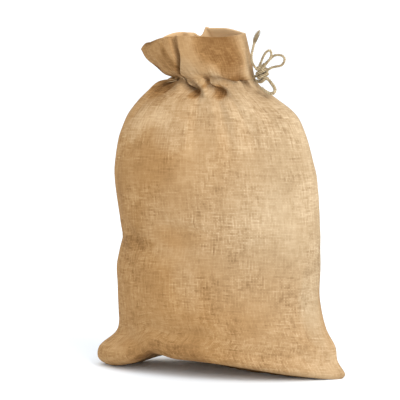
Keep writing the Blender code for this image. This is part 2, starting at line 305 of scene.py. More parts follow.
# %% Folds and arch
# Each row is a fold of the gathered neck, named by its place in millimetres
# round the cloth from the right side seam over the back, the left and the
# front: the cloth it takes in, how deep it goes and how wide its mouth is at
# the tie, how far it runs down the shoulder and up the collar, and how far it
# wanders sideways on the way down and on the way up.
FOLD_NAMES = ("at", "cloth", "deep", "mouth", "below", "above", "wander_down", "wander_up")
FOLDS = (
    (52, 44, 13, 9, 75, 56, 4, -3),
    (126, 44, 15, 9, 85, 60, -6, 4),
    (206, 44, 15, 9, 80, 90, 6, -4),
    (288, 44, 14, 9, 80, 120, -4, 4),
    (396, 30, 10, 9, 46, 18, -14, 0),  # short fold under the left flare
    (442, 42, 15, 4.4, 32, 120, 82, 47),  # deep pleat beside the left flare
    (524, 44, 11, 5, 34, 14, 56, 14),
    (650, 36, 9, 11, 34, 26, 4, 2),
)
TUCKED = 0.9  # how upright a fold's two walls stand at the tie, 1 is straight in
SMOOTHED = 0.02  # and where the fold has faded
MOUTH_CLOTH = 20  # a mouth in the table is for this much cloth, and grows with the fold's own
WANDERS_WITHIN = (28, 45)  # how far below and above the tie a fold wanders sideways
EVEN_BELOW, EVEN_FADE = 180 * MM, 170 * MM  # where the grid's columns stop following the folds

# The rim isn't level: each row gives, at a place in millimetres round the
# cloth from the right side seam, how far the rim stands up there.
RIM_NAMES = ("at", "raised")
RIM = (
    (0, 0), (30, 1.5), (60, 4.5), (90, 6), (118, 5), (140, 4), (155, 3), (161, -4), (185, -3),
    (225, 0), (245, 1), (265, 1), (290, 0), (320, 4), (350, 4), (380, 5), (410, 1), (440, 0),
    (700, 0),
)
RIM_FROM = 448  # where on the way up the rim's rise begins
RIM_BOW = 0.7  # below 1, the rise comes early on the way up

# The lower front edge stands off the floor like an arch. Each row gives, at an
# x, how far the edge is raised and behind which y the base is flat again.
ARCH_NAMES = ("x", "raised", "flat_from")
ARCH = (
    (-150, 3, -12),
    (-121, 9, 12),
    (-106, 13, 42),
    (-94, 20, 54),
    (-84, 26.5, 56),
    (-72, 27, 54),
    (-50, 23, 46),
    (-34, 22.7, 42),
    (-18, 22.3, 34),
    (30, 18.8, 6),
    (60, 15.2, -2),
    (90, 11.8, -10),
    (120, 9, -11),
    (146, 4.8, -10),
    (160, 2, -10),
)
EDGE_Y = -64  # where the lower front edge is
LIFT_FADE = 120  # the height up to which the front gives way to the arch
print(len(FOLDS), "folds of the neck")

# %% Reading the tables
def column(rows, names, name, at):
    """A named column of a table, read at a smooth curve through its rows."""
    x = np.array([row[0] for row in rows], float)
    y = np.array([row[names.index(name)] for row in rows], float)
    slope = np.gradient(y, x)
    i = np.clip(np.searchsorted(x, at, side="right") - 1, 0, len(x) - 2)
    step = x[i + 1] - x[i]
    t = (at - x[i]) / step
    return (
        (2 * t**3 - 3 * t**2 + 1) * y[i]
        + (t**3 - 2 * t**2 + t) * step * slope[i]
        + (3 * t**2 - 2 * t**3) * y[i + 1]
        + (t**3 - t**2) * step * slope[i + 1]
    )


def smooth(t):
    """0 below 0, 1 above 1, and a soft step between them."""
    t = np.clip(t, 0, 1)
    return t * t * (3 - 2 * t)


shoulder = float(column(SECTIONS, SECTION_NAMES, "x_left", 340))
print("the shoulder's left end is at x", round(shoulder), "mm")

# %% [markdown]
# At any height the full sack is a soft, flattened ring that is pinched at its two
# side edges. It could be a curve object, but sums give each of its points by its
# share of the way round, which the folds need next.

# %% Outlines of the cloth
def distances(points):
    """How far each point is along the way through them."""
    return np.concatenate([[0], np.cumsum(np.linalg.norm(np.diff(points, axis=0), axis=1))])


def outline(up):
    """The ungathered outline of the cloth, as points from the right side seam and back to it."""
    at = {n: float(column(SECTIONS, SECTION_NAMES, n, up / MM)) * MM for n in SECTION_NAMES[:9]}
    pinch = [float(column(SECTIONS, SECTION_NAMES, n, up / MM)) for n in SECTION_NAMES[9:]]
    turn = np.linspace(0, 2 * np.pi, OUTLINE_STEPS + 1)
    c, s = np.cos(turn), np.sin(turn)
    rightness = (1 + c) / 2
    sharp = pinch[0] + (pinch[1] - pinch[0]) * rightness
    side_y = (at["y_front"] + at["y_back"]) / 2
    side_z = at["z_left"] + (at["z_right"] - at["z_left"]) * rightness
    middle_y = np.where(s > 0, at["y_back"], at["y_front"])
    middle_z = np.where(s > 0, at["z_back"], at["z_front"])
    x = (at["x_left"] + at["x_right"]) / 2 + (at["x_right"] - at["x_left"]) / 2 * c
    y = side_y + (middle_y - side_y) * np.abs(s) ** sharp
    z = side_z + (middle_z - side_z) * s**2
    return np.stack([x, y, z], axis=1)


print("girth at the belly", round(distances(outline(190 * MM))[-1] / MM), "mm")

# %% [markdown]
# Where the neck is drawn shut, the cloth is far wider than the outline has room
# for. A cloth simulation would fold it by chance. Here each fold takes its own
# width of cloth and tucks it inside the outline, so it stays where its row puts it.

# %% Gathering into folds
def fold(tucked, along):
    """The section of a fold at shares of its own cloth: how far across it is, as a share
    of its mouth, and how far in, as a share of its depth."""
    steps = (np.arange(FOLD_STEPS) + 0.5) / FOLD_STEPS
    wave = np.sin(2 * np.pi * steps)
    steep = 0.1 + 2 * tucked
    swing = tucked * np.pi / 2 * np.tanh(steep * wave) / np.tanh(steep)
    across = np.concatenate([[0], np.cumsum(np.cos(swing))])
    deep = np.concatenate([[0], np.cumsum(np.sin(swing))])
    every = np.linspace(0, 1, FOLD_STEPS + 1)
    return np.interp(along, every, across / across[-1]), np.interp(along, every, deep / deep.max())


def fold_middles(height):
    """Where the middle of each fold is round the cloth, this far above the tie, in millimetres."""
    rows = [dict(zip(FOLD_NAMES, row)) for row in FOLDS]
    down, up = smooth(-height / WANDERS_WITHIN[0]), smooth(height / WANDERS_WITHIN[1])
    return rows, [row["at"] + row["wander_down"] * down + row["wander_up"] * up for row in rows]


def gathered(around, up):
    """Where the cloth at these shares of its way round sits once it is gathered:
    its share of the outline, and how far inside the outline it is, in metres."""
    height = (up - TIE_UP) / MM
    rows, middles = fold_middles(height)
    round_mm = ROUND / MM
    aside = 5 * round_mm  # keeps the places that a fold has moved apart from the rest
    place = np.array(around, float) * round_mm
    inside = np.zeros(len(place))
    at, to = [], []
    for row, middle in zip(rows, middles):
        reach = row["below"] if height < 0 else row["above"]
        fade = float(1 - smooth(abs(height) / reach))
        half = row["cloth"] / 2
        mouth = half + (row["mouth"] * row["cloth"] / MOUTH_CLOTH - half) * fade
        here = np.abs(place - middle) < half
        tucked = SMOOTHED + (TUCKED - SMOOTHED) * fade
        across, deep = fold(tucked, (place[here] - middle + half) / (2 * half))
        at += [middle - half, middle + half]
        to += [middle - mouth, middle + mouth]
        inside[here] = deep * row["deep"] * fade * MM
        place[here] = middle + (across * 2 - 1) * mouth - aside
    at, to = np.array(at), np.array(to)
    at = np.concatenate([[at[-1] - round_mm], at, [at[0] + round_mm]])
    to = np.concatenate([[to[-1] - round_mm], to, [to[0] + round_mm]])
    flat = place > -round_mm
    place[flat] = np.interp(place[flat], at, to)
    place[~flat] += aside
    return place / round_mm, inside


tucked_in = gathered(np.linspace(0, 1, OUTLINE_STEPS), TIE_UP)[1]
print("the deepest fold goes in", round(tucked_in.max() / MM), "mm at the tie")

# %% [markdown]
# A ring of the cloth is its outline with the folds tucked in, the rim raised and
# the lower front edge lifted. Its points crowd in the folds, where the cloth turns
# sharply, and are spread evenly at the base.

# %% Rings of the cloth
def columns(up, front, back):
    """Shares of the way round the cloth for the points of one ring: closely set in the folds at
    the neck, and even at the base. front and back give the points in each fold and panel."""
    rows, middles = fold_middles((up - TIE_UP) / MM)
    places = []
    for low, high, counts in ((0, 0.5, back), (0.5, 1, front)):
        edges = [low * ROUND / MM]
        for row, middle in zip(rows, middles):
            if low <= row["at"] * MM / ROUND < high:
                edges += [middle - row["cloth"] / 2, middle + row["cloth"] / 2]
        edges.append(high * ROUND / MM)
        for start, end, count in zip(edges, edges[1:], counts):
            places += [start + (end - start) * i / count for i in range(count)]
    places = np.array(places) * MM / ROUND
    even = np.arange(len(places)) / len(places)
    return even + (places - even) * smooth((up - EVEN_BELOW) / EVEN_FADE)


def lifted(points):
    """The points, with the lower front edge raised off the floor."""
    x, y, z = points.T / MM
    at = np.clip(x, ARCH[0][0], ARCH[-1][0])
    raised = np.maximum(column(ARCH, ARCH_NAMES, "raised", at), 0)
    flat_from = column(ARCH, ARCH_NAMES, "flat_from", at)
    ramp = np.clip((flat_from - y) / (flat_from - EDGE_Y), 0, 1)
    low = 1 - smooth(z / LIFT_FADE)
    points = points.copy()
    points[:, 2] = np.maximum(z, 0) * MM + raised * ramp * (2 - ramp) * low * MM
    return points


def cloth_ring(around, up):
    """The points of the cloth at these shares of its way round, this far up from its bottom."""
    around = np.asarray(around, float)
    line = outline(up)
    length = distances(line)
    half = length[OUTLINE_STEPS // 2]
    share, inside = gathered(around, up)
    share = share % 1
    at = np.where(share < 0.5, share * 2 * half, half + (share * 2 - 1) * (length[-1] - half))
    points = np.stack([np.interp(at, length, line[:, k]) for k in range(3)], axis=1)
    ahead, behind = (
        np.stack([np.interp((at + go) % length[-1], length, line[:, k]) for k in range(2)], axis=1)
        for go in (1 * MM, -1 * MM)
    )
    along = ahead - behind
    along /= np.maximum(np.linalg.norm(along, axis=1), 1e-9)[:, None]
    points[:, 0] -= along[:, 1] * inside
    points[:, 1] += along[:, 0] * inside
    rise = column(RIM, RIM_NAMES, "raised", around % 1 * ROUND / MM)
    risen = smooth((up / MM - RIM_FROM) / (CUT_HEIGHT / MM - RIM_FROM)) ** RIM_BOW
    points[:, 2] += rise * MM * risen
    return lifted(points)


print("the rim's left end is at", np.round(cloth_ring([0.5], CUT_HEIGHT)[0] / MM), "mm")

# %% [markdown]
# ## The cloth
# The cloth is a grid of small squares, as a real weave is, with one side of the
# grid for each side of the cut piece. Each point is moved to its place on the
# loft, and the piece's own map keeps where it lay on the flat cloth, so the weave
# can follow the folds later. Past the rim the grid turns over and runs down
# inside, as the hem does.

# %% Rows and columns of the cloth grid
# Columns in each panel and fold in turn, round the back and then round the front.
BACK_COUNTS = (12, 18, 12, 18, 12, 18, 14, 18, 22)
FRONT_COUNTS = (14, 20, 4, 26, 18, 24, 26, 20, 10)
# How far up the cloth, and how far apart the rows are from there on, in millimetres.
ROW_SPACING = ((0, 6), (36, 3.4), (112, 7), (330, 4), (408, 2), (462, 3.5))
HEM_DOWN = 82 * MM
HEM_GAP, HEM_IN_FOLD = 2.5 * MM, 1.1 * MM  # from the cloth's face to its hem, open and in a fold
HEM_OVER = 1.6 * HEM_GAP  # the cloth's way over the rim
RIM_TURNS = (45, 90, 135)  # where the rows lie as the cloth turns over the rim, in degrees
SHEET = 1.0 * MM  # how thick each layer of the cloth is
WELD = 0.05 * MM  # points closer than this are one


def row_places():
    """Distances up the cloth of the grid's rows, from the bottom seam to the rim."""
    ups = []
    for (start, step), (end, _) in zip(ROW_SPACING, ROW_SPACING[1:] + ((CUT_HEIGHT / MM, 1),)):
        count = max(1, round((end - start) / step))
        ups += [start + (end - start) * i / count for i in range(count)]
    return np.array(ups + [CUT_HEIGHT / MM]) * MM


UPS = row_places()
AROUND = np.array([np.append(columns(up, FRONT_COUNTS, BACK_COUNTS), 1.0) for up in UPS])
print("cloth grid", AROUND.shape[1], "by", len(UPS))

# %% [markdown]
# The loft alone would look like plastic. Goods press the cloth out in low lumps,
# the gathers pucker it round the twine, and a few long creases run down from the
# folds and up from the corners. They are added as small moves along the surface's
# own outward direction.

# %% Lumps, puckers and creases
LUMP = 1.3  # how far the goods' lumps stand out, in millimetres
LUMPS_ROUND, LUMP_TALL = 2.0, 48  # radius of the circle that is read in the noise, lump height
FINER, FINER_AT = 2.3, Vector((7, 3, 1))  # a second, smaller set of lumps
LUMPS_FROM, LUMPS_TO, LUMPS_FADE = 45, 360, 60  # where they begin above the base and weaken
PUCKER, PUCKER_TALL = 0.28, 22  # how far the hem's pucker stands out, and how far it reaches
PUCKER_WAVES = (13, 8.3)  # the lengths of its two waves, which never fall in step
CREASE_ENDS = (0.3, 0.45)  # shares of a crease's length in which it starts and fades out
# Each crease runs between two places on the cloth (millimetres round from the
# right side seam and up from the bottom), with its width and its depth.
CREASE_NAMES = ("from_around", "from_up", "to_around", "to_up", "wide", "deep")
CREASES = (
    (560, 424, 572, 318, 9, 2.2),
    (585, 426, 612, 330, 10, 2.0),
    (632, 424, 650, 345, 8, 1.8),
    (455, 420, 440, 345, 9, 2.0),
    (400, 424, 385, 372, 7, 2.0),
    (455, 262, 520, 196, 8, 1.5),
    (345, 236, 430, 186, 11, 2.0),
    (520, 420, 512, 330, 10, 1.6),
    (372, 300, 380, 180, 12, 1.6),
    (360, 205, 440, 175, 11, 1.2),
    (690, 62, 640, 120, 9, 1.6),
    (668, 58, 628, 90, 8, 1.2),
    (380, 62, 418, 130, 12, 0.8),
    (240, 420, 226, 330, 10, 2.0),
    (150, 424, 160, 320, 10, 2.0),
    (90, 424, 74, 350, 9, 1.8),
    (60, 70, 110, 130, 10, 1.6),
    (300, 66, 262, 128, 10, 1.6),
    (210, 250, 150, 215, 9, 1.0),
)


def relief(around, up):
    """How far the cloth stands out of the loft at each place of a row, in metres."""
    a, h = around * ROUND / MM, up / MM
    out = np.zeros(len(a))
    for i, angle in enumerate(2 * np.pi * around):
        at = Vector((math.cos(angle) * LUMPS_ROUND, math.sin(angle) * LUMPS_ROUND, h / LUMP_TALL))
        out[i] = LUMP * noise.noise(at) + 0.5 * LUMP * noise.noise(at * FINER + FINER_AT)
    out *= float(smooth((h - LUMPS_FROM) / LUMPS_FADE))
    out *= float(1 - 0.6 * smooth((h - LUMPS_TO) / LUMPS_FADE))
    long, short = (a * 2 * np.pi / wave for wave in PUCKER_WAVES)
    ripple = np.sin(long + 1.7 * np.sin(a / 21)) + 0.6 * np.sin(short + 1.1)
    out += PUCKER * math.exp(-(((h - TIE_UP / MM) / PUCKER_TALL) ** 2)) * ripple
    for row in CREASES:
        crease = dict(zip(CREASE_NAMES, row))
        start = np.array((crease["from_around"], crease["from_up"]), float)
        way = np.array((crease["to_around"], crease["to_up"]), float) - start
        length = np.linalg.norm(way)
        way /= length
        apart = (a - start[0] + CUT_WIDTH / MM) % (ROUND / MM) - CUT_WIDTH / MM
        along = (apart * way[0] + (h - start[1]) * way[1]) / length
        beside = apart * way[1] - (h - start[1]) * way[0]
        starts, ends = CREASE_ENDS
        fade = smooth((along + starts / 2) / starts) * (1 - smooth((along - (1 - ends)) / ends))
        out -= crease["deep"] * fade * np.exp(-((beside / crease["wide"]) ** 2))
        lip = beside - 1.7 * crease["wide"]
        out += 0.4 * crease["deep"] * fade * np.exp(-((lip / crease["wide"]) ** 2))
    return out * MM


def directions(places):
    """The outward direction at each point of a closed grid of places."""
    ring = np.concatenate([places[:, -2:-1], places, places[:, 1:2]], axis=1)
    across = ring[:, 2:] - ring[:, :-2]
    up = np.gradient(places, axis=0)
    out = np.cross(across, up)
    return out / np.maximum(np.linalg.norm(out, axis=2), 1e-9)[:, :, None]


print(len(CREASES), "creases")


# %% [markdown]
# Where the twine bites, the collar sags over it, and the cloth below it is sucked
# into pockets. A loft can't make an overhang, so these places are pressed one by one,
# like clay: each row names a place seen from the front, the size and the turn of
# the press, and how far the cloth goes out and down there.

# %% Presses
PRESS_NAMES = ("x", "z", "long", "wide", "turn", "out", "down", "way")
PRESSES = (
    (-30, 371, 10, 6.5, -35, -19, 0, -12),  # pocket under the collar's lip
    (3, 370.5, 11, 6, -35, -13, 0, -30),  # second pocket
    (-47, 380, 9, 3, -35, -5, 0, -50),  # the way down to the first pocket
    (-14, 372, 4, 8, -8, 4, 0, 0),  # ridge between them
    (-26, 384, 12, 5, -14, 4, 3, 0),  # the collar's lip over the first pocket
    (28, 393, 22, 8, -4, 4, 8.5, 0),  # and over the tie at the right
    (27, 377, 20, 4, -4, -2.5, 0, 0),
    (-68, 372, 16, 8, 38, -15, 0, -15),  # hollow under the left flare
    (-84, 361, 12, 7, 40, -4, 0, -25),
    (-58, 366, 24, 5, 52, 5, 0, 0),  # ridge that runs down beside it
    (-84, 374, 15, 8, 36, 2, -4, -50),  # the shoulder's edge beyond it
    (20, 436, 30, 14, 0, 4, 0, 0),  # the collar's front leans out at its upper right
    (20, 404, 24, 10, 0, -4, 0, 0),
    (-101, 178, 22, 6, -35, -5, 0, -26),  # crease from the left edge
    (-96, 192, 22, 7, -35, 2.5, 0, -26),
    (-18, 203, 20, 5.5, 0, 3.2, 0, -36),  # slanting crease in the middle
    (-29, 196, 22, 7, 0, -3.4, 0, -36),
    (64, 190, 22, 5, 20, 2.4, 0, 4),
    (65, 346, 30, 6, 10, 2.8, 0, -70),  # ridge that runs down from the knot
    (77, 348, 26, 6, 12, -2.4, 0, -70),
    (-112, 46, 26, 8, -33, -2.5, 0, -40),  # valley between the left ear and the body
    (-150, 24, 16, 14, 0, 3, 0, -60),
)


SIDE_FADE = 0.02  # the share of the way round in which presses fade at the side edges


def pressed(places, shares):
    """The places of the cloth's front, moved by the presses."""
    moved = places.copy()
    in_front = smooth((shares - 0.5) / SIDE_FADE) * smooth((1 - shares) / SIDE_FADE)
    for row in PRESSES:
        press = dict(zip(PRESS_NAMES, row))
        turn, way = math.radians(press["turn"]), math.radians(press["way"])
        apart_x = places[:, :, 0] / MM - press["x"]
        apart_z = places[:, :, 2] / MM - press["z"]
        along = apart_x * math.cos(turn) + apart_z * math.sin(turn)
        beside = apart_z * math.cos(turn) - apart_x * math.sin(turn)
        near = np.exp(-((along / press["long"]) ** 2) - (beside / press["wide"]) ** 2) * in_front
        out, down = press["out"], press["down"]
        move = np.array((out * math.sin(way), -out * math.cos(way), -down))
        moved += near[:, :, None] * move * MM
    return moved


print(len(PRESSES), "presses")

# %% The cloth's outer face
outer = np.array([cloth_ring(around, up) for around, up in zip(AROUND, UPS)])
outer[:, -1] = outer[:, 0]
outer = pressed(outer, AROUND)
in_folds = np.array([gathered(around, up)[1] for around, up in zip(AROUND, UPS)])
on_show = np.exp(-in_folds / (2 * MM))  # 1 on the open cloth, 0 deep in a fold
raised = np.array([relief(around, up) for around, up in zip(AROUND, UPS)])
outer += directions(outer) * (raised * on_show)[:, :, None]
outer[:, :, 2] = np.maximum(outer[:, :, 2], 0)
outer[:, -1] = outer[:, 0]
print("cloth reaches", np.round(outer.min((0, 1)) / MM), np.round(outer.max((0, 1)) / MM))

# %% [markdown]
# The rim is turned in as a hem, and the twine runs inside it. The hem could be a
# strip of its own, but here the same cloth goes on over the rim and down inside,
# so that its weave turns over with it.

# %% Hem rows
def hem_rows():
    """Places and map heights of the rows that turn over the rim and run down inside."""
    out = directions(outer)
    rim_up = outer[-1] - outer[-2]
    rim_up /= np.linalg.norm(rim_up, axis=1)[:, None]
    gap = (HEM_IN_FOLD + (HEM_GAP - HEM_IN_FOLD) * on_show)[:, :, None]
    rows, heights = [], []
    half = gap[-1] / 2
    for angle in np.radians(RIM_TURNS):
        over = rim_up * half * math.sin(angle)
        rows.append(outer[-1] - out[-1] * half * (1 - math.cos(angle)) + over)
        heights.append(CUT_HEIGHT + HEM_GAP / 2 * angle)
    for i in range(len(UPS) - 1, 0, -1):
        down = CUT_HEIGHT - UPS[i]
        if down > HEM_DOWN:
            break
        rows.append(outer[i] - out[i] * gap[i])
        heights.append(CUT_HEIGHT + HEM_OVER + down)
    return np.array(rows), np.array(heights)


inner, inner_heights = hem_rows()
PLACES = np.concatenate([outer, inner])
HEIGHTS = np.concatenate([UPS, inner_heights])
turned = len(RIM_TURNS)
over_rim, hem_shares = np.repeat(AROUND[-1:], turned, axis=0), AROUND[::-1][: len(inner) - turned]
SHARES = np.concatenate([AROUND, over_rim, hem_shares])
print("hem", round((inner_heights[-1] - CUT_HEIGHT) / MM), "mm deep in", len(inner), "rows")

# %% [markdown]
# The grid can now take its places. Its first and last columns meet at the side
# seam and are joined there, and a Solidify modifier gives the cloth its thickness
# inwards, which leaves the outer face where it is.

# %% Cloth mesh
def shown(name, mesh, slot, *nodes):
    """A finished piece that rides with the sack and stands for CAD nodes; slot is not used."""
    thing = add_object(name, mesh)
    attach(thing, "root")
    if nodes:
        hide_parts(*nodes)
    return thing


def add_grid(form, places, flat_places, flat_map):
    """Adds a grid of squares on those places, which remembers the flat ones in a map."""
    last_row, last_col = places.shape[0] - 1, places.shape[1] - 1
    made = bmesh.ops.create_grid(form, x_segments=last_col, y_segments=last_row, size=0.5)["verts"]
    flat = form.loops.layers.uv.get(flat_map) or form.loops.layers.uv.new(flat_map)
    where = {
        point: (round((point.co.y + 0.5) * last_row), round((point.co.x + 0.5) * last_col))
        for point in made
    }
    for face in {face for point in made for face in point.link_faces}:
        for corner in face.loops:
            corner[flat].uv = flat_places[where[corner.vert]]
    for point, at in where.items():
        point.co = places[at]
    return made


def cloth_mesh():
    """The grid of the cloth on its places, closed at the side seam, with its flat map."""
    form = bmesh.new()
    flat = np.stack([SHARES * ROUND, np.broadcast_to(HEIGHTS[:, None], SHARES.shape)], axis=2)
    add_grid(form, PLACES, flat, "flat cloth")
    bmesh.ops.remove_doubles(form, verts=form.verts, dist=WELD)
    mesh = as_mesh(form, "sack_cloth")
    mesh.shade_smooth()
    return mesh


sack = shown("sack_cloth", cloth_mesh(), "hessian", "sack")
wall = sack.modifiers.new("thickness", "SOLIDIFY")
wall.thickness, wall.offset = SHEET, -1
print("cloth faces", len(sack.data.polygons))

# %% [markdown]
# ## Hessian
# Hessian is a plain weave of thick, uneven jute yarns: each yarn passes over one
# neighbour and under the next. The pattern is drawn from the cloth's own flat
# map, in yarns, so it bends with every fold. Each yarn has its own tone, which
# changes slowly along it, and that gives the cloth its faint streaks both ways.

# %% Tones of the yarns, and painted light and shade
YARN = 2.1 * MM
# Dark, middle and light yarns of the deeper-toned cloth, also painted on the shaded left, and of
# the paler cloth, faded in places and painted paler where lit.
FRESH_AND_SHADED = ((0.16, 0.074, 0.022), (0.34, 0.189, 0.073), (0.49, 0.315, 0.152))
FADED_AND_LIT = ((0.18, 0.105, 0.048), (0.37, 0.263, 0.150), (0.56, 0.43, 0.285))
INNER_HEM_PAINTED_LIGHT = (0.86, 0.62, 0.36)  # painted light: the turned-in cloth inside the rim is painted paler
SMOOTH_CLOTH = (515, 462, 44, 44)  # where the pleat pulls the cloth of the collar smooth
LIT_RIGHT, LIT_UP = 5.2, 0.7  # how quickly the cloth is painted paler to the right and upwards, as painted light from the lamp
# How fine the cloth's uneven places are, per metre, from the broadest to the hairs' fuzz.
BROAD, PATCHED, STRONGER, MOTTLED, FUZZY = 5.0, 11.0, 17.0, 48.0, 1400.0
# Painted light and shade: places where the cloth is painted darker in its hollows, pockets
# and creases and lighter on its ridges: where on the flat cloth (millimetres round and up),
# half width, half height, how much lighter and how much greyer.
PAINTED_LIGHT_AND_SHADE = (
    (610, 482, 84, 44, -0.4, -0.6),  # painted shade and light on the collar's front
    (640, 445, 42, 10, -0.36, -0.4),
    (673, 468, 17, 40, 0.2, 0.1),
    (500, 452, 34, 24, 0.10, 0.2),
    (515, 436, 38, 14, 0.42, -0.5),
    (586, 429, 34, 9, 0.26, -0.5),
    (503, 414, 17, 9, -0.32, -0.8),  # painted shade in the pockets under the collar, and light beside them
    (562, 417, 20, 12, -0.42, -0.8),
    (572, 450, 22, 22, 0.18, 0.2),
    (520, 428, 13, 9, -0.15, -0.4),
    (364, 446, 44, 30, 0.0, -0.6),
    (398, 417, 36, 15, -0.35, -0.4),
    (424, 464, 20, 14, -0.16, -0.9),  # painted shade on the left flare
    (362, 456, 26, 14, -0.5, 0.1),
    (402, 500, 46, 9, -0.4, 0.1),
    (446, 462, 14, 34, -0.3, -0.4),
    (458, 390, 28, 24, 0.22, 0.1),  # painted highlights on the shoulders
    (425, 384, 44, 20, 0.22, 0.1),
    (402, 366, 34, 22, 0.12, 0.1),
    (604, 398, 42, 18, 0.08, 0.0),
    (480, 360, 40, 28, 0.08, 0.2),
    (448, 326, 50, 50, -0.13, -0.1),
    (640, 330, 48, 50, -0.10, 0.0),
    (395, 310, 28, 60, -0.12, -0.3),
    (522, 322, 36, 64, 0.13, 0.0),  # painted light and shade on the body's middle
    (404, 222, 58, 12, -0.2, -0.3),
    (500, 250, 44, 16, 0.07, 0.0),
    (520, 230, 120, 130, 0.0, 0.17),
    (490, 234, 52, 20, -0.09, -0.15),
    (500, 158, 30, 64, 0.14, 0.2),
    (676, 145, 26, 64, 0.09, 0.4),
    (430, 110, 90, 60, 0.07, 0.1),  # painted light and shade on the base, and painted shade along its lower edge
    (388, 68, 52, 44, 0.20, 0.15),
    (485, 58, 60, 24, -0.2, -0.2),
    (545, 44, 56, 30, -0.1, 0.0),
    (432, 46, 26, 14, -0.35, -0.4),
    (520, 10, 170, 20, -0.28, -0.6),
    (492, 8, 62, 14, -0.26, -0.3),
)


print(len(PAINTED_LIGHT_AND_SHADE), "places that are darker or lighter than the rest")

# %% Plain weave
def plain_weave(graph, flat):
    """The height of the weave, the tone of the yarn on top, and the tone of both yarns together."""
    x, y, _ = graph.split(flat)
    u, v = x * (1 / YARN), y * (1 / YARN)
    iu, iv = u.floor(), v.floor()
    across_u = (u.fraction() * 2 - 1) ** 2
    across_v = (v.fraction() * 2 - 1) ** 2
    warp, weft = 1 - across_u, 1 - across_v
    over = (iu + iv).modulo(2.0)
    over = over * over  # 1 where the warp is on top, also left of the seam
    warp_on = warp * (weft * 0.45 + 0.55)
    weft_on = weft * (warp * 0.45 + 0.55)
    height = warp_on * over + weft_on * (1 - over)
    warp_tone = graph.noise(graph.vector(iu * 7.31, v * 0.11, 2.0), 1.0, 3.0, 0.6)
    weft_tone = graph.noise(graph.vector(u * 0.11, iv * 5.87, 9.0), 1.0, 3.0, 0.6)
    tone = warp_tone * over + weft_tone * (1 - over)
    blend = (warp_tone + weft_tone) * 0.5
    return height, tone, blend


def soft_patch(around, up, at_around, at_up, wide, tall):
    """1 at a place on the flat cloth, falling softly to 0 at that half width and half height."""
    beside, above = (around - at_around * MM) / (wide * MM), (up - at_up * MM) / (tall * MM)
    return (beside**2 + above**2).spread(0.0, 1.0, 1.0, 0.0)


print("a yarn is", round(YARN / MM, 1), "mm wide")

# %% Hessian material
def hessian():
    """The cloth's material: its weave lies on the flat cloth, its broad patches in the room."""
    graph = Graph("hessian")
    flat = graph.node("ShaderNodeUVMap", {"uv_map": "flat cloth"}, {})
    here = graph.node("ShaderNodeTexCoord", {}, {}, output=3)
    around, height_up, _ = graph.split(flat)
    height, tone, blend = plain_weave(graph, flat)
    patches = graph.noise(here, PATCHED, 3.0)
    mottled = graph.noise(here, MOTTLED, 2.0)
    stretched = 1.0 - soft_patch(around, height_up, *SMOOTH_CLOTH) * 0.7
    strong = graph.noise(here, STRONGER, 2.0).spread(0.35, 0.65, 0.55, 1.25) * stretched
    fuzz = graph.noise(flat, FUZZY, 2.0)
    # painted shade: the collar above the tie is painted darker and deeper in tone
    hem = height_up.spread(TIE_UP - 4 * MM, TIE_UP + 10 * MM)
    place_x, _, place_z = graph.split(here)
    low = place_z.spread(0.03, 0.21, 1.0, 0.0)
    # the weave's height darkens its low places, as painted shade between the yarns
    weave = (blend - 0.5) * 1.15 + (tone - 0.5) * 0.55 + (height - 0.5) * 0.22
    # painted light: the turned-in cloth inside the rim is painted lighter and paler
    inside = height_up.spread(CUT_HEIGHT, CUT_HEIGHT + 4 * MM)
    shade = (
        weave * strong + (patches - 0.5) * 0.7 + (mottled - 0.5) * 0.2 + (fuzz - 0.5) * 0.3
        + inside * 0.75 + 0.52 - hem * 0.10 - low * 0.07
    )
    broad = graph.noise(here, BROAD, 2.0)
    # painted light: the cloth is paler to the right and upwards, towards the lamp; it is deeper in
    # tone at the bottom and above the tie, and broad random patches of it are faded paler
    faded_and_lit = (
        place_x * LIT_RIGHT + (place_z - 0.2) * LIT_UP
        + (broad - 0.5) * 1.1 + 0.5 - hem * 0.25 - low * 0.6
    )
    # painted light and shade, place by place
    for *place, lighter, greyer in PAINTED_LIGHT_AND_SHADE:
        patch = soft_patch(around, height_up, *place)
        shade = shade + patch * lighter
        faded_and_lit = faded_and_lit + patch * greyer
    colour = graph.mix(faded_and_lit.clamped(), graph.tones(shade, FRESH_AND_SHADED), graph.tones(shade, FADED_AND_LIT))
    colour = graph.mix(inside * 0.42, colour, INNER_HEM_PAINTED_LIGHT)
    standing = (height * 0.6 + (blend - 0.5) * 1.2 + (fuzz - 0.5) * 0.3) * stretched
    normal = graph.bump(standing, 0.36, 0.45 * MM)
    return graph.finish(Base_Color=colour, Roughness=0.92, Specular_IOR_Level=0.15, Normal=normal)


sack.data.materials.append(hessian())
print("hessian yarns", round(ROUND / YARN), "round and", round(CUT_HEIGHT / YARN), "up")

# %% [markdown]
# ## The drawstring
# The drawstring is one length of jute twine: three strands laid round each other,
# hard enough to stand up in a bow by itself. A plain round tube would hide that.
# So each run is a grid rolled into a tube whose section has three lobes, and the
# section turns steadily as it moves along, as the strands of a real twine do.

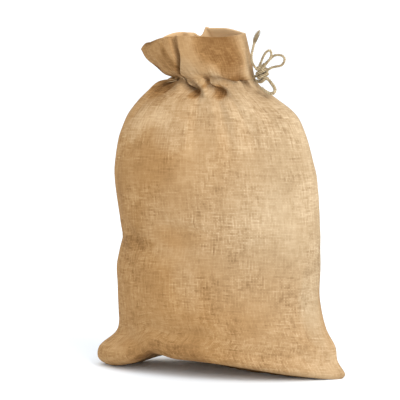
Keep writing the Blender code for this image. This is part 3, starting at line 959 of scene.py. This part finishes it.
# %% The ways of the twine
TWINE = 3.6 * MM
WAY_NAMES = ("x", "y", "z")
DRAWSTRING = {
    "drawstring_tail_up": (
        (48.6, -13.3, 397.2), (43.8, -14.5, 404), (42, -14, 412.2), (43.5, -13, 422.4),
        (45.5, -11, 431.5), (47.8, -10, 438.5), (50, -10, 443), (51.6, -10, 446.4),
    ),
    "drawstring_loop_upright": (
        (53.4, -10.2, 405.2), (55.8, -12, 410.6), (58.6, -13, 415.7), (62.1, -13, 419.8),
        (65.7, -13, 421.2), (67.7, -13, 417.5), (66.4, -13.5, 411.2), (62.3, -13.8, 405.6),
        (58.4, -13.6, 400.6),
    ),
    "drawstring_loop_round": (
        (57, -2, 403.2), (63.3, -1, 409.2), (68.5, -2, 413.7), (74.6, -4, 414.9),
        (80.3, -6, 414.1), (83.9, -8, 410.5), (83.3, -9, 406.6), (80, -9, 402.4),
        (73.5, -9, 400.7), (67, -8, 399), (61.6, -7, 395.8),
    ),
    "drawstring_tail_curled": (
        (61.2, -10, 385.6), (64.8, -11, 382.7), (68.2, -12, 379), (71.5, -13, 374.8),
        (73, -14, 370.6), (71.2, -15, 367.3), (67, -16, 366.8), (63.1, -17.5, 368.8),
        (58.9, -18.5, 371.8), (54.9, -19, 374.8),
    ),
    "drawstring_round_neck": (
        (45, -2.5, 386.8), (41, 0, 386.7), (33, 2, 386), (24, 3.4, 385.5), (8, 6.5, 385),
        (-12, 7, 384), (-28, 5, 384), (-37, 0.5, 384), (-28, -4.5, 383.5), (-12, -7, 383.5),
        (8, -7, 383), (24, -5, 382), (33, -3, 381.4), (41, -0.5, 381.2), (45.4, -2.5, 381.4),
    ),
}


def smooth_way(rows, step):
    """Points along a soft curve through the rows, about a step apart, in metres."""
    knots = np.array(rows, float)
    length = distances(knots)
    count = int(np.ceil(length[-1] * MM / step))
    at = np.linspace(0, length[-1], count + 1)
    table = [(here, *row) for here, row in zip(length, knots)]
    names = ("at", *WAY_NAMES)
    return np.stack([column(table, names, name, at) for name in WAY_NAMES], axis=1) * MM


def way_length(points):
    """The length of a way through its points."""
    return float(np.linalg.norm(np.diff(points, axis=0), axis=1).sum())


RUN_STEP = 0.7 * MM
ways = {name: smooth_way(rows, RUN_STEP) for name, rows in DRAWSTRING.items()}
for name, points in ways.items():
    print(name, round(way_length(points) / MM, 1), "mm")

# %% Laying strands into a twine
LAY = 8.5 * MM
STRANDS = 3
STRAND = TWINE / 2 / (1 + 2 / math.sqrt(3))
TWINE_SIDES = 18
GROOVE = 0.52 * TWINE / 2  # the grooves between the strands stay this far from the middle
STRAND_MAP = "strands"


def twine_section():
    """How far the twine reaches at equal turns round its middle: one lobe for each strand."""
    turn = np.arange(TWINE_SIDES + 1) * 2 * np.pi / TWINE_SIDES
    beside = (turn + np.pi / STRANDS) % (2 * np.pi / STRANDS) - np.pi / STRANDS
    off = STRAND * 2 / math.sqrt(3)
    reach = off * np.cos(beside) + np.sqrt(np.maximum(STRAND**2 - (off * np.sin(beside)) ** 2, 0))
    return turn, np.maximum(reach, GROOVE)


def carried_frames(points):
    """Two directions square to a way at each of its points, carried along without twist."""
    along = np.gradient(points, axis=0)
    along /= np.linalg.norm(along, axis=1)[:, None]
    side = np.cross(along[0], (0.0, 1.0, 0.3))
    sides = []
    for way in along:
        side = side - way * side.dot(way)
        side /= np.linalg.norm(side)
        sides.append(side)
    sides = np.array(sides)
    return sides, np.cross(along, sides)


def rolled(points, far, turn, radius, twist=0.0):
    """A tube's grid of places round a way, and its map: how far along it and how far round."""
    first, second = carried_frames(points)
    angle = (turn + np.reshape(twist, (-1, 1)))[:, :, None]
    out = np.cos(angle) * first[:, None] + np.sin(angle) * second[:, None]
    flat = np.stack(np.meshgrid(far, turn / (2 * np.pi), indexing="ij"), axis=2)
    return points[:, None] + radius[:, :, None] * out, flat


def tube_places(points, thick):
    """The grid of a twisted twine along a way, with its thickness at each point."""
    far = distances(points)
    turn, reach = twine_section()
    return rolled(points, far, turn, reach * thick[:, None], 2 * np.pi * far / LAY)


def add_tube(form, places, flat_places):
    """Rolls a grid into a tube on those places, closed at both ends, with its map kept."""
    made = add_grid(form, places, flat_places, STRAND_MAP)
    bmesh.ops.remove_doubles(form, verts=made, dist=WELD / 5)
    kept = [point for point in made if point.is_valid]
    rims = [edge for edge in {e for point in kept for e in point.link_edges} if edge.is_boundary]
    bmesh.ops.holes_fill(form, edges=rims, sides=places.shape[1])


def twine_mesh(name, *tubes):
    """One mesh of all the tubes."""
    form = bmesh.new()
    for places, flat in tubes:
        add_tube(form, places, flat)
    bmesh.ops.recalc_face_normals(form, faces=form.faces)
    mesh = as_mesh(form, name)
    mesh.shade_smooth()
    return mesh


print("a strand is", round(STRAND * 2 / MM, 1), "mm thick, once round in", round(LAY / MM, 1))

# %% The runs of the drawstring
# Thickness along a tail: shares of its way, then shares of the twine's thickness there.
TAIL_THICK = {
    "drawstring_tail_up": ((0, 0.62, 1), (1, 1, 0.45)),
    "drawstring_tail_curled": ((0, 0.25, 0.6, 0.86, 1), (1.1, 1.35, 1.35, 1.1, 0.6)),
}
EVEN = ((0, 1), (1, 1))
runs = {}
for name, points in ways.items():
    thick = np.interp(np.linspace(0, 1, len(points)), *TAIL_THICK.get(name, EVEN))
    mesh = twine_mesh(name, tube_places(points, thick))
    runs[name] = shown(name + "_twine", mesh, "jute_twine", name)
print("twine faces", sum(len(run.data.polygons) for run in runs.values()))

# %% [markdown]
# Where a twine is cut, its strands open into a brush of loose fibres. Each fibre is
# a thin, three-sided tapering tube of its own: a few faces each, as there are many.
# They start inside the twine and spread along the way that the tail takes, and
# Python's own random numbers, started from a fixed seed, make each one differ.

# %% Frayed ends
FIBRE_POINTS, FIBRE_SIDES = 7, 3
FIBRE_ROOT = 0.55 * TWINE / 2  # fibres set out within this far from the twine's middle


def fibre(form, points, thick):
    """A thin, three-sided hair through the points, thinning towards its tip."""
    points = np.array(points)
    far = np.linspace(0, way_length(points), len(points))
    radius = thick * np.linspace(1, 0.35, len(points))
    turn = np.arange(FIBRE_SIDES + 1) * 2 * np.pi / FIBRE_SIDES
    add_tube(form, *rolled(points, far, turn, radius[:, None]))


def frayed(name, points, start, count, wide, seed):
    """Fibres that leave a tail at a share of its way and spread to a brush of that width."""
    dice = random.Random(seed)
    first, second = carried_frames(points)
    form = bmesh.new()
    last = len(points) - 1
    for _ in range(count):
        turn = dice.uniform(0, 2 * math.pi)
        out = math.sqrt(dice.random())
        begin = start + dice.uniform(-0.03, 0.03)
        end = begin + (1 - begin) * dice.uniform(0.55, 1.0)
        bend = dice.uniform(-0.9, 0.9)
        line = []
        for t in np.linspace(0, 1, FIBRE_POINTS):
            k = min(last, int(round((begin + (end - begin) * t) * last)))
            opened = math.sin(t * math.pi * 0.62)
            reach = out * (FIBRE_ROOT + (wide / 2 - FIBRE_ROOT) * opened)
            angle = turn + bend * t
            aside = math.cos(angle) * first[k] + math.sin(angle) * second[k]
            line.append(points[k] + reach * aside)
        fibre(form, line, dice.uniform(0.22, 0.38) * MM)
    bmesh.ops.recalc_face_normals(form, faces=form.faces)
    return shown(name, as_mesh(form, name), "jute_twine")


FRAYED = {
    "drawstring_tail_up": {"start": 0.6, "count": 70, "wide": 6.6 * MM, "seed": 4},
    "drawstring_tail_curled": {"start": 0.84, "count": 26, "wide": 5.4 * MM, "seed": 9},
}
brushes = {name: frayed(name + "_fray", ways[name], **how) for name, how in FRAYED.items()}
print("fray faces", sum(len(brush.data.polygons) for brush in brushes.values()))

# %% [markdown]
# ## The knot
# A shoe-lace bow is one twine crossing itself: the two ends come out of the hem,
# cross, each goes on as a loop and a tail, and three turns are drawn round them
# all. It is laid here as five short stretches of the same twine, from table rows,
# so it keeps the openings that a tied bow shows, instead of one solid lump.

# %% Knot
KNOT_WAYS = (
    # out of the hem, behind the knot and up to the first tail
    ((44.5, -2.5, 386.8), (49.5, -1.8, 388.5), (53.6, -2.6, 391.5), (55.6, -6.4, 394.6),
     (53.4, -10.6, 397.2), (50.4, -12.6, 396.6), (48.6, -13.3, 397.2)),
    # out of the hem, under the knot and out to the curled tail
    ((44.9, -2.5, 381.4), (49.4, -3.6, 380.4), (53.6, -7.4, 381), (57.4, -10.4, 383.6),
     (59.6, -10.6, 385.6), (61.2, -10, 385.6)),
    # from one loop, down through the knot and up to the other
    ((53.4, -10.2, 405.2), (51.4, -8.6, 401.4), (50.6, -7, 396), (51.2, -6, 390),
     (54.2, -5.6, 385.8), (57.6, -6, 387.6), (59.6, -6.6, 391.6), (61.6, -7, 395.8)),
    # the other ends of the two loops, crossing in the middle
    ((58.4, -13.6, 400.6), (55.2, -12.4, 396.8), (52.6, -9.6, 391.6), (52.2, -5.4, 389.4),
     (54, -2.4, 393.6), (55.6, -1.6, 399), (57, -2, 403.2)),
)
WRAP_AXIS = ((52.2, -6.6, 401.5), (56.2, -7.6, 383.5))
WRAP_TURNS, WRAP_STEPS = 3.1, 60
WRAP_RADIUS = (5.0, 6.6, 5.0)  # at the start, in the middle and at the end, in millimetres
WRAP_START, WRAP_FLAT = 0.8, 0.9  # where it sets out, in radians, and its depth against its width
KNOT_FULLER = 1.4  # the twine's thickness in the knot, against a free run's


def wrap_tube():
    """The turns drawn round the bow's crossing, as a short helix along its axis."""
    start, end = (np.array(at) for at in WRAP_AXIS)
    axis = (end - start) / np.linalg.norm(end - start)
    across = np.cross(axis, (0.0, 1.0, 0.0))
    across /= np.linalg.norm(across)
    ahead = np.cross(axis, across)
    points = []
    for t in np.linspace(0, 1, WRAP_STEPS):
        angle = 2 * np.pi * WRAP_TURNS * t - WRAP_START
        radius = np.interp(t, (0, 0.5, 1), WRAP_RADIUS)
        out = np.cos(angle) * across + np.sin(angle) * ahead * WRAP_FLAT
        points.append((start + (end - start) * t + radius * out) * MM)
    return tube_places(np.array(points), np.full(WRAP_STEPS, KNOT_FULLER))


def knot_tube(rows):
    """A stretch of the knot, fuller in its middle than at its ends."""
    points = smooth_way(rows, RUN_STEP)
    share = np.linspace(0, 1, len(points))
    return tube_places(points, 1 + (KNOT_FULLER - 1) * np.sin(np.pi * share))


tubes = [knot_tube(rows) for rows in KNOT_WAYS] + [wrap_tube()]
bow_knot = "drawstring_bow_knot"
knot = shown(bow_knot, twine_mesh(bow_knot, *tubes), "jute_twine", "drawstring_knot")
print("knot faces", len(knot.data.polygons))

# %% [markdown]
# The bow's loops and tails are free twine, and the length of each is printed,
# from where it leaves the knot. The stretch inside the hem isn't free.

# %% Free twine
for name, run in runs.items():
    if name == "drawstring_round_neck":
        continue
    points, brush = ways[name], brushes.get(name)
    [tuple(p) for p in points[::4]] + [tuple(points[-1])]
    print(name, "is", round(way_length(points) / MM), "mm long")

# %% [markdown]
# ## Jute twine
# Along each strand run fine fibres, some pale and some dark, and each strand is painted
# lighter on its crown and darker in the grooves, as painted highlight and shade. The map of each
# run keeps the distance along it and the turn round it, so streaks can be long one way and short
# the other.

# %% Twine material
TWINE_TONES = ((0.10, 0.068, 0.032), (0.35, 0.262, 0.15), (0.66, 0.56, 0.38))


def jute_twine():
    """The twine's material: fibres as streaks along the strands, and painted shade in the grooves
    between them.
    """
    graph = Graph("jute twine")
    flat = graph.node("ShaderNodeUVMap", {"uv_map": STRAND_MAP}, {})
    along, round_share, _ = graph.split(flat)
    lobe = (round_share * STRANDS + 0.5).fraction() * 2 - 1
    # painted highlight on each strand's crown and painted shade in the grooves
    lit_crown = 1 - lobe * lobe
    streak = graph.noise(graph.vector(along * 160, (round_share + along * 22) * 34), 1.0, 3.0, 0.6)
    tone = graph.noise(graph.vector(along * 110, 3.0, 1.0), 1.0, 2.0)
    shade = (streak - 0.5) * 1.3 + (tone - 0.5) * 1.2 + lit_crown * 0.5 + 0.14
    colour, normal = graph.tones(shade, TWINE_TONES), graph.bump(streak, 0.6, 0.25 * MM)
    return graph.finish(Base_Color=colour, Roughness=0.9, Specular_IOR_Level=0.15, Normal=normal)


twine_finish = jute_twine()
pieces = (*runs.values(), *brushes.values(), knot)
for piece in pieces:
    piece.data.materials.append(twine_finish)
print("twine finish on", len(pieces), "pieces")
